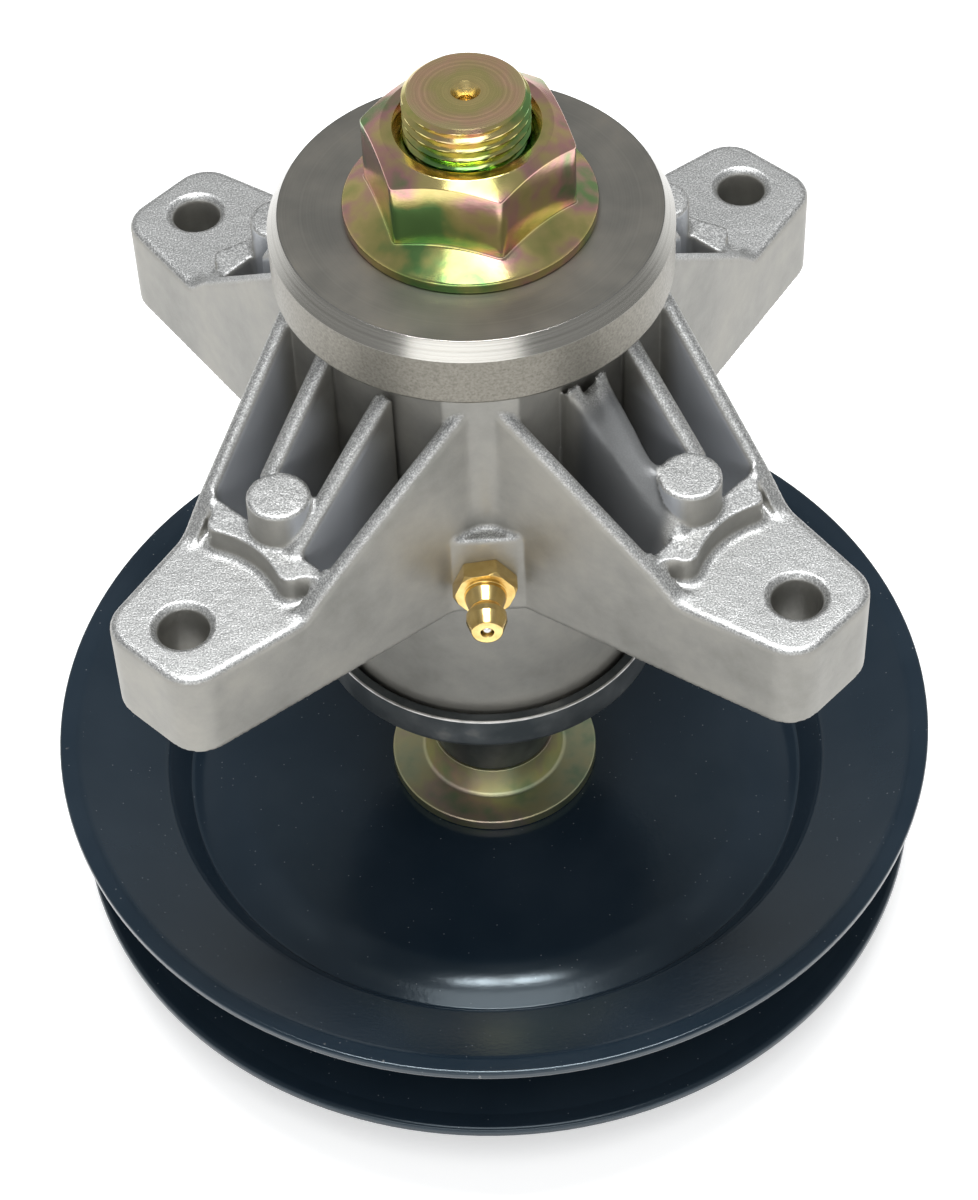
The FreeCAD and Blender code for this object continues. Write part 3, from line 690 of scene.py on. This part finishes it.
def softened(node):
    """Mesh of a CAD node in place, with its edges rounded by voxels and a light smoothing."""
    sharp = node.data.copy()
    sharp.transform(node.matrix_world)
    bm = bmesh.new()
    bm.from_mesh(sharp)
    bmesh.ops.remove_doubles(bm, verts=bm.verts, dist=CAD_SAME_POINT)
    bm.to_mesh(sharp)
    bm.free()
    blank = bpy.data.objects.new("housing_blank", sharp)
    bpy.context.scene.collection.objects.link(blank)
    remesh = blank.modifiers.new("voxels", "REMESH")
    remesh.mode = "VOXEL"
    remesh.voxel_size = VOXEL * MM
    soft = blank.modifiers.new("soft", "SMOOTH")
    soft.iterations = SOFTEN
    soft.factor = SOFT_FACTOR
    seen = blank.evaluated_get(bpy.context.evaluated_depsgraph_get())
    triangles = 2 * len(seen.data.polygons)
    if triangles > MOST_FACES:
        fewer = blank.modifiers.new("fewer", "DECIMATE")
        fewer.ratio = MOST_FACES / triangles
        seen = blank.evaluated_get(bpy.context.evaluated_depsgraph_get())
    mesh = bpy.data.meshes.new_from_object(seen)
    mesh.materials.clear()
    bpy.data.objects.remove(blank)
    return mesh


def melt_flank(mesh):
    """Runs the broad rib out into its pocket, and gives the indices of the points that get painted shade
    there.
    """
    bm = bmesh.new()
    bm.from_mesh(mesh)
    flank_shade = [v.index for v in bm.verts if on_flank(v.co, BOSS_SIDE_R)]
    flank = [v for v in bm.verts if on_flank(v.co, BOSS_CLEAR)]
    for _ in range(FLANK_MELTS):
        bmesh.ops.smooth_vert(
            bm, verts=flank, factor=SOFT_FACTOR, use_axis_x=True, use_axis_y=True, use_axis_z=True)
    bm.to_mesh(mesh)
    bm.free()
    return np.array(flank_shade, int)


def mark_skin(mesh, flank_shade_points):
    """Values at the mesh's points for its material: blasted tops with painted top light, painted shade on the
    flank, painted fill light in the pockets.
    """
    normals = np.empty(3 * len(mesh.vertices))
    mesh.vertices.foreach_get("normal", normals)
    tilt = normals[2::3]
    places = np.empty(3 * len(mesh.vertices))
    mesh.vertices.foreach_get("co", places)
    x, y, z = places.reshape(-1, 3).T / MM
    station = (abs(x) + abs(y)) / math.sqrt(2)
    offset = abs(abs(x) - abs(y)) / math.sqrt(2)
    # Painted shade on the flank, fading in and out along the leg
    along = station[flank_shade_points]
    flank_shade = np.zeros(len(station))
    flank_shade[flank_shade_points] = (smooth_step(along, FLANK_SHADE_S, FLANK_SHADE_S + FLANK_SHADE_FADE)
                         * smooth_step(FLANK_S[1] - along, 0, FLANK_SHADE_FADE))
    # Upward faces: blasted finish and painted top light, held back where the flank has painted shade
    blast_and_top_light = smooth_step(tilt, *BLAST_AND_TOP_LIGHT_TILT) * (1 - (1 - FLANK_BLAST_AND_TOP_LIGHT) * flank_shade)
    half = LEG_HALF_AT_HOLE + (HOLE_S - station) * LEG_TAPER - LEG_WALL
    # Pockets get a painted fill light, held back on faces that tilt upwards and on the tops
    pocket = smooth_step(half - offset, -LEG_WALL / 2, 0) * smooth_step(PLATE_S - station, 0, POCKET_FADE)
    pocket *= (1 - blast_and_top_light) * (1 - (1 - POCKET_TILTED) * smooth_step(tilt, *POCKET_TILT))
    pocket *= smooth_step(z, POCKET_FROM_Z, POCKET_FROM_Z + POCKET_FADE)
    pocket *= smooth_step(np.hypot(x, y), POCKET_FROM_R, POCKET_FROM_R + 2 * POCKET_FADE)
    for name, values in (("flank_shade", flank_shade), ("blast_and_top_light", blast_and_top_light), ("pocket", pocket)):
        mesh.attributes.new(name, "FLOAT", "POINT").data.foreach_set("value", values)


def casting():
    mesh = softened(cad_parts["housing"])
    flank_shade_points = melt_flank(mesh)
    mesh.shade_smooth()
    piece = bpy.data.objects.new("housing_casting", mesh)
    bpy.context.scene.collection.objects.link(piece)
    mark_skin(mesh, flank_shade_points)
    stands_for(piece, "housing", "housing_body", [ALUMINIUM])


# Pulley, hub, spacer, shield and disc

SHEET = 1.9
WEB_R = 6.5
WEB_EDGE_R = 43.8
WEB_EDGE_BEND = 16.0
BOWL_FOOT_R = 48.6
BOWL_FOOT_DROP = 2.1
BOWL_EDGE_R = 52.0
BOWL_H = 3.1
BOWL_BEND = 1.6
LIP_R = 65.4
LIP_H = 10.9
RIM_RISE = 11.2
LOWER_WEB_R = 42.0
LOWER_FOOT_R = 49.5
LOWER_FOOT_DROP = 3.1
LOWER_LIP_R = 63.6
LOWER_LIP_DROP = 5.2
LOWER_RIM_DROP = 5.3
LOWER_BEND = 2.0
LIP_BEND = 1.5
RIM_ROUND = 0.8


def sheet_path(line, bends):
    """Path round a pressed sheet whose top side runs along the line; a positive bend is hollow on top."""
    below = []
    for i in range(len(line)):
        normals = []
        for a, b in ((i - 1, i), (i, i + 1)):
            if a >= 0 and b < len(line):
                run = np.subtract(line[b], line[a])
                normals.append(np.array([run[1], -run[0]]) / np.linalg.norm(run))
        side = normals[0] + normals[-1]
        side /= np.linalg.norm(side)
        if i in (0, len(line) - 1):
            side = np.array([0.0, -1.0])
            step = SHEET
        else:
            step = SHEET / (side @ normals[0])
        below.append(np.array(line[i]) + side * step)
    over_bends = [0] + [b if b > 0 else SHEET - b for b in bends] + [RIM_ROUND]
    under_bends = [0] + [-b if b < 0 else SHEET + b for b in bends] + [RIM_ROUND]
    corners = [(r, z, bend) for (r, z), bend in zip(line, over_bends)]
    corners += reversed([(r, z, bend) for (r, z), bend in zip(below, under_bends)])
    return corners


def pulley():
    web = span("pulley_upper_half")[1] - RIM_RISE
    rim = reach("pulley_upper_half")
    line = [(WEB_R, web), (WEB_EDGE_R, web), (BOWL_FOOT_R, web - BOWL_FOOT_DROP), (BOWL_EDGE_R, web + BOWL_H),
            (LIP_R, web + LIP_H), (rim, web + RIM_RISE)]
    upper = lathed("pulley_upper_sheet", sheet_path(line, [-WEB_EDGE_BEND, BOWL_BEND, -BOWL_BEND, -LIP_BEND]))
    stands_for(upper, "pulley_upper_half", "rotor", [PAINT])
    web -= SHEET
    rim = reach("pulley_lower_half")
    line = [(WEB_R, web), (LOWER_WEB_R, web), (LOWER_FOOT_R, web - LOWER_FOOT_DROP),
            (LOWER_LIP_R, web - LOWER_LIP_DROP), (rim, web - LOWER_RIM_DROP)]
    lower = lathed("pulley_lower_sheet", sheet_path(line, [-LOWER_BEND, LOWER_BEND, LIP_BEND]))
    stands_for(lower, "pulley_lower_half", "rotor", [PAINT])


HUB_FLANGE_T = 1.9
HUB_BARREL_R = 10.9
HUB_TOP_R = 9.6
HUB_COVE = 0.8


def hub_and_spacer():
    low, high = span("pulley_hub")
    flange = reach("pulley_hub")
    hub = lathed("pulley_hub_turned", [
        (BORE_R, low), (flange, low, EDGE), (flange, low + HUB_FLANGE_T, EDGE),
        (HUB_BARREL_R, low + HUB_FLANGE_T, HUB_COVE), (HUB_TOP_R, high, FINE_EDGE), (BORE_R, high)])
    stands_for(hub, "pulley_hub", "rotor", [DULL_ZINC])
    low, high = span("pulley_spacer")
    outside = reach("pulley_spacer")
    spacer = lathed("pulley_spacer_tube", [
        (BORE_R, low), (outside, low, EDGE), (outside, high, EDGE), (BORE_R, high)])
    stands_for(spacer, "pulley_spacer", "rotor", [OXIDE])


SHIELD_WALL = 1.7
SHIELD_FLOOR = 1.7
SHIELD_FOOT_R = 11.6
SHIELD_BEND = 1.2


def shield():
    low, high = span("dust_shield")
    outside = reach("dust_shield")
    inside = outside - SHIELD_WALL
    foot = low + SHIELD_FLOOR
    race = span("pulley_bearing_inner_race")[0]
    cup = lathed("dust_shield_cup", [
        (BORE_R, low), (outside, low, SHIELD_BEND), (outside, high, EDGE), (inside, high, EDGE),
        (inside, foot, 2 * EDGE), (SHIELD_FOOT_R, foot, EDGE), (SHIELD_FOOT_R, race, FINE_EDGE),
        (BORE_R, race)])
    stands_for(cup, "dust_shield", "rotor", [OXIDE, BARE])
    paint_bands(cup, lambda r, z: 1 if z > high - 2 * EDGE and r > outside - 2 * EDGE else 0)


SEAT_R = 8.52
DISC_FLAT_R = 25.8
DISC_CHAMFER_H = 2.4
DISC_FOOT_R = 11.6
DISC_FOOT_H = 1.4


def disc():
    low, high = span("blade_disc")
    outside = reach("blade_disc")
    under = low + DISC_FOOT_H
    edge = high - DISC_CHAMFER_H
    piece = lathed("blade_disc_turned", [
        (SEAT_R, low), (DISC_FOOT_R, low, FINE_EDGE), (DISC_FOOT_R, under, FINE_EDGE),
        (outside, under, 2 * EDGE), (outside, edge, FINE_EDGE), (DISC_FLAT_R, high, FINE_EDGE),
        (SEAT_R, high)])
    stands_for(piece, "blade_disc", "rotor", [FACE, SIDE, BEVEL])

    def band(r, z):
        if z > edge and r > DISC_FLAT_R - EDGE:
            return 2
        return 1 if r > outside - 3 * EDGE else 0
    paint_bands(piece, band)


# Flange nuts

NUT_AF = 25.2
NUT_RIM_T = 1.5
NUT_CONE_H = 4.6
NUT_TOP_R = 11.3
NUT_SINK_R = 9.8
NUT_FOOT_SINK = 0.9
NUT_CROWN_DEG = 30.0
NUT_LEAST_CROWN = 0.05
NUT_CORNER = 70
NUT_SEGMENTS = 240


def hex_radius(across_flats, angle):
    """Radius of a hexagon with slightly rounded corners; a corner lies at angle zero."""
    total = 0.0
    for k in range(6):
        total += max(0.0, math.cos(angle - math.radians(60 * k + 30))) ** NUT_CORNER
    return across_flats / 2 / total ** (1 / NUT_CORNER)


def nut_path(angle, height, flange_r):
    """Path of the nut's section at an angle from a corner, standing on its flange at zero."""
    side = hex_radius(NUT_AF, angle)
    slope = (NUT_CONE_H - NUT_RIM_T) / (flange_r - NUT_TOP_R)
    foot = NUT_CONE_H - (side - NUT_TOP_R) * slope
    crown = height - max(side - NUT_TOP_R, NUT_LEAST_CROWN) * math.tan(math.radians(NUT_CROWN_DEG))
    return rounded_path([
        (BORE_R, NUT_FOOT_SINK), (BORE_R + NUT_FOOT_SINK, 0), (flange_r, 0, EDGE),
        (flange_r, NUT_RIM_T, 2 * EDGE), (side, foot, 2 * EDGE), (side, crown, EDGE),
        (NUT_TOP_R, height, EDGE), (NUT_SINK_R, height, FINE_EDGE), (BORE_R, height - NUT_SINK_R + BORE_R)])


def nut(node, corner_deg, upside_down):
    low, high = span(node)
    flange_r = reach(node)
    turn = math.radians(corner_deg)
    piece = spun(node + "_plated", lambda angle: nut_path(angle - turn, high - low, flange_r), NUT_SEGMENTS)
    flip = Matrix.Rotation(math.pi, 4, "X") if upside_down else Matrix.Identity(4)
    foot = high if upside_down else low
    piece.data.transform(Matrix.Translation((0, 0, foot * MM)) @ flip)
    stands_for(piece, node, "rotor", [ZINC])


# Shaft with cut threads

FLAT_HALF = 6.25
END_CHAMFER = 0.8
STUD_FROM = 132.0
SEAT_FROM = 53.7
SEAT_TO = 129.0
SEAT_SHAFT_R = 8.5
CENTRE_R = 1.85
CENTRE_PILOT_R = 1.0
CENTRE_DEPTH = 3.0
SHAFT_SEGMENTS = 96
THREAD_SHARP_DEG = 30.0
LEAST_SINE = 1e-3


def thread_r(angle, z):
    """Radius of a right hand thread: flat crest, straight flanks, flat root."""
    t = abs((z / PITCH - angle / (2 * math.pi)) % 1.0 - 0.5) * 2
    return THREAD_R - THREAD_DEPTH * min(max((t - CREST_SHARE) / (1 - ROOT_SHARE - CREST_SHARE), 0), 1)


def thread_rows(z0, z1):
    count = int((z1 - z0) / PITCH * ROWS_PER_PITCH)
    return [z0 + (z1 - z0) * k / count for k in range(count + 1)]


def shaft():
    low, high = span("spindle_shaft")
    flat_top = span("pulley_hub")[1]
    lower_rows = thread_rows(low, flat_top)
    upper_rows = thread_rows(STUD_FROM, high)

    def path(angle):
        flat = FLAT_HALF / max(abs(math.sin(angle)), LEAST_SINE)
        points = [(0, low)]
        for z in lower_rows:
            lead = THREAD_R - END_CHAMFER + z - low
            points.append((min(thread_r(angle, z), flat, lead), z))
        points += [(THREAD_R, flat_top), (THREAD_R, SEAT_FROM), (SEAT_SHAFT_R, SEAT_FROM),
                   (SEAT_SHAFT_R, SEAT_TO), (THREAD_R, SEAT_TO), (THREAD_R, STUD_FROM)]
        for z in upper_rows:
            lead = THREAD_R - END_CHAMFER + high - z
            points.append((min(thread_r(angle, z), lead), z))
        points += [(CENTRE_R + FINE_EDGE, high), (CENTRE_R, high - FINE_EDGE),
                   (CENTRE_PILOT_R, high - CENTRE_DEPTH / 2), (CENTRE_PILOT_R, high - CENTRE_DEPTH),
                   (0, high - CENTRE_DEPTH)]
        return points

    def band(r, z):
        in_hole = r < CENTRE_R and z > high - 2 * CENTRE_DEPTH
        return 1 if z > high - FINE_EDGE or in_hole else 0

    piece = spun("spindle_shaft_threaded", path, SHAFT_SEGMENTS, ring=False, sharp=THREAD_SHARP_DEG)
    stands_for(piece, "spindle_shaft", "rotor", [ZINC, STUD])
    paint_bands(piece, band)


# Grease fitting, built upright and turned to point out of the housing's front

FIT_AF = 7.9
FIT_HEX_L = 2.8
FIT_HEX_TURN = 8.0
FIT_COLLAR_R = 2.9
FIT_COLLAR_L = 0.6
FIT_WAIST_R = 2.15
FIT_WAIST_L = 2.2
FIT_HEAD_R = 2.8
FIT_HEAD_L = 1.0
FIT_TIP_R = 2.1
FIT_TIP_L = 2.0
FIT_BORE_R = 0.9
SHANK_R = 2.98
SHANK_L = 6.0
FIT_LEAST_CROWN = 0.03
FIT_SEGMENTS = 96


def fitting():
    low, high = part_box("grease_fitting")
    crown_r = FIT_AF / math.sqrt(3) - 2 * EDGE
    collar = FIT_HEX_L + FIT_COLLAR_L
    waist = collar + FIT_WAIST_L
    head = waist + FIT_HEAD_L
    tip = head + FIT_HEAD_L + FIT_TIP_L
    turn = math.radians(FIT_HEX_TURN)

    def path(angle):
        side = hex_radius(FIT_AF, angle - turn)
        crown = FIT_HEX_L - max(side - crown_r, FIT_LEAST_CROWN)
        top_r = crown_r if side > crown_r else side - FIT_LEAST_CROWN
        return rounded_path([
            (FIT_BORE_R, -SHANK_L), (SHANK_R, -SHANK_L), (SHANK_R, 0), (side, 0, FINE_EDGE),
            (side, crown, FINE_EDGE), (top_r, FIT_HEX_L, FINE_EDGE),
            (FIT_COLLAR_R, FIT_HEX_L, FINE_EDGE), (FIT_COLLAR_R, collar, 3 * EDGE),
            (FIT_WAIST_R, waist, 2 * EDGE), (FIT_HEAD_R, head, EDGE), (FIT_HEAD_R, head + FIT_HEAD_L, EDGE),
            (FIT_TIP_R, tip, EDGE), (FIT_BORE_R, tip, FINE_EDGE)])

    piece = spun("grease_fitting_turned", path, FIT_SEGMENTS)
    mouth = Vector(((low[0] + high[0]) / 2, low[1] + tip * MM, (low[2] + high[2]) / 2))
    piece.data.transform(Matrix.Translation(mouth) @ Matrix.Rotation(math.pi / 2, 4, "X"))
    stands_for(piece, "grease_fitting", "housing_body", [BRASS])


# CAD nodes that keep their own mesh

KEPT = {
    "grease_fitting_ball": GROUND,
    "bearing_spacer": GROUND,
    "inner_race": GROUND,
    "outer_race": GROUND,
    "balls": GROUND,
    "seal": RUBBER,
    "cage": CAGE,
}


def dress_nodes():
    for name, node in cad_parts.items():
        for ending, finish in KEPT.items():
            if name.endswith(ending):
                node.data.materials.clear()
                node.data.materials.append(finish)


# Stage, lights and camera

FLOOR_SIZE = 6.0
FLOOR_COLOUR = (0.90, 0.90, 0.90)
FLOOR_GLOW = 0.49
# Room by the height of a direction
SKY_TONES = [
    (0.0, (0.44, 0.44, 0.43)), (0.25, (0.48, 0.48, 0.47)), (0.5, (0.40, 0.40, 0.40)),
    (0.82, (0.27, 0.28, 0.29)), (1.0, (0.30, 0.31, 0.32))]
# Place in metres, watts, then width and height in metres
LAMPS = {
    "overhead": ((0.0, 0.11, 1.2), 11.5, 0.6, 0.13),
    "key": ((0.0, -0.42, 1.25), 4.4, 0.6, 0.6),
    "front": ((-0.16, -1.3, 0.47), 4.4, 1.4, 0.32),
}
CLIP_NEAR = 0.01
CLIP_FAR = 20.0


def stage():
    mesh = bpy.data.meshes.new("floor")
    half = FLOOR_SIZE / 2
    corners = [(-half, -half, 0), (half, -half, 0), (half, half, 0), (-half, half, 0)]
    mesh.from_pydata(corners, [], [(0, 1, 2, 3)])
    floor = bpy.data.objects.new("floor", mesh)
    bpy.context.scene.collection.objects.link(floor)
    made = bpy.data.materials.new("floor")
    made.use_nodes = True
    tree = made.node_tree
    tree.nodes.clear()
    paper = tree.nodes.new("ShaderNodeBsdfDiffuse")
    paper.inputs["Color"].default_value = (*FLOOR_COLOUR, 1)
    glow = tree.nodes.new("ShaderNodeEmission")
    rays = tree.nodes.new("ShaderNodeLightPath").outputs
    seen = calc(tree, "MAXIMUM", rays["Is Camera Ray"], rays["Is Glossy Ray"])
    seen = calc(tree, "MAXIMUM", seen, rays["Is Transmission Ray"])
    put(tree, glow.inputs["Strength"], calc(tree, "MULTIPLY", seen, FLOOR_GLOW))
    both = tree.nodes.new("ShaderNodeAddShader")
    tree.links.new(paper.outputs["BSDF"], both.inputs[0])
    tree.links.new(glow.outputs["Emission"], both.inputs[1])
    out = tree.nodes.new("ShaderNodeOutputMaterial")
    tree.links.new(both.outputs["Shader"], out.inputs["Surface"])
    mesh.materials.append(made)


def sky():
    """Soft studio room: pale near the floor, darker half way up."""
    world = bpy.data.worlds.new("studio")
    bpy.context.scene.world = world
    world.use_nodes = True
    tree = world.node_tree
    direction = tree.nodes.new("ShaderNodeTexCoord").outputs["Generated"]
    split = tree.nodes.new("ShaderNodeSeparateXYZ")
    tree.links.new(direction, split.inputs["Vector"])
    room = hues(tree, split.outputs["Z"], SKY_TONES)
    tree.links.new(room, tree.nodes["Background"].inputs["Color"])


def lamp(name, place, power, width, height):
    """Soft box aimed at the middle of the part."""
    data = bpy.data.lights.new(name, "AREA")
    data.shape = "RECTANGLE"
    data.size = width
    data.size_y = height
    data.energy = power
    light = bpy.data.objects.new(name, data)
    light.location = place
    aim = Vector((0, 0, AIM_Z * MM)) - light.location
    light.rotation_euler = aim.to_track_quat("-Z", "Y").to_euler()
    bpy.context.scene.collection.objects.link(light)


def lights():
    for name, (place, power, width, height) in LAMPS.items():
        lamp(name, place, power, width, height)


def camera():
    az = math.radians(CAM_AZ)
    el = math.radians(CAM_EL)
    roll = math.radians(CAM_ROLL)
    ahead = Vector((math.sin(az) * math.cos(el), math.cos(az) * math.cos(el), -math.sin(el)))
    right = Vector((math.cos(az), -math.sin(az), 0))
    up = right.cross(ahead)
    place = (Vector((0, 0, AIM_Z)) + right * AIM_X - ahead * CAM_DIST) * MM
    across = right * math.cos(roll) + up * math.sin(roll)
    upward = up * math.cos(roll) - right * math.sin(roll)
    data = bpy.data.cameras.new("camera")
    data.sensor_fit = "VERTICAL"
    data.sensor_height = SENSOR_H
    data.lens = FOCAL_PX * SENSOR_H / PHOTO_H
    data.clip_start = CLIP_NEAR
    data.clip_end = CLIP_FAR
    eye = bpy.data.objects.new("camera", data)
    turn = Matrix((across, upward, -ahead)).transposed()
    eye.matrix_world = Matrix.Translation(place) @ turn.to_4x4()
    bpy.context.scene.collection.objects.link(eye)
    bpy.context.scene.camera = eye


casting()
pulley()
hub_and_spacer()
shield()
disc()
nut("blade_nut", NUT_TURN, False)
nut("pulley_nut", LOWER_NUT_TURN, True)
shaft()
fitting()
dress_nodes()
stage()
sky()
lights()
camera()
bpy.context.scene.view_settings.view_transform = "Standard"
